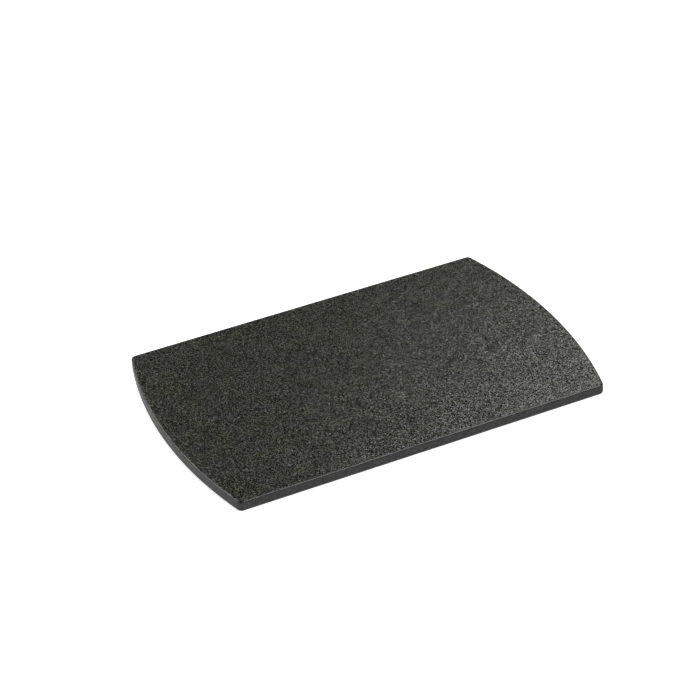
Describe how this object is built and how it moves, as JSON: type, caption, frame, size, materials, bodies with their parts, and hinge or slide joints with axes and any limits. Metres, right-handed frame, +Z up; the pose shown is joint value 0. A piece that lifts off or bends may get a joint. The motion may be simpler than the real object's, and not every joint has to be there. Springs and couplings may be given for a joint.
{
  "type": "basalt massage stone",
  "caption": "Flat basalt slab with straight long sides, bowed ends, rounded corners and eased rims, warmed or chilled and laid on the body for massage.",
  "frame": {"origin": "centre of the underside, where the slab rests", "axes": "+X along the length towards one bowed end, +Y across the width towards one straight side, +Z up from the underside to the top face"},
  "size_m": [0.3, 0.2, 0.008],
  "materials": {
    "basalt": "fine matt grain on the top face and underside, smooth satin sides and eased rims"
  },
  "bodies": {
    "root": {"basalt_slab": "basalt"}
  },
  "joints": []
}
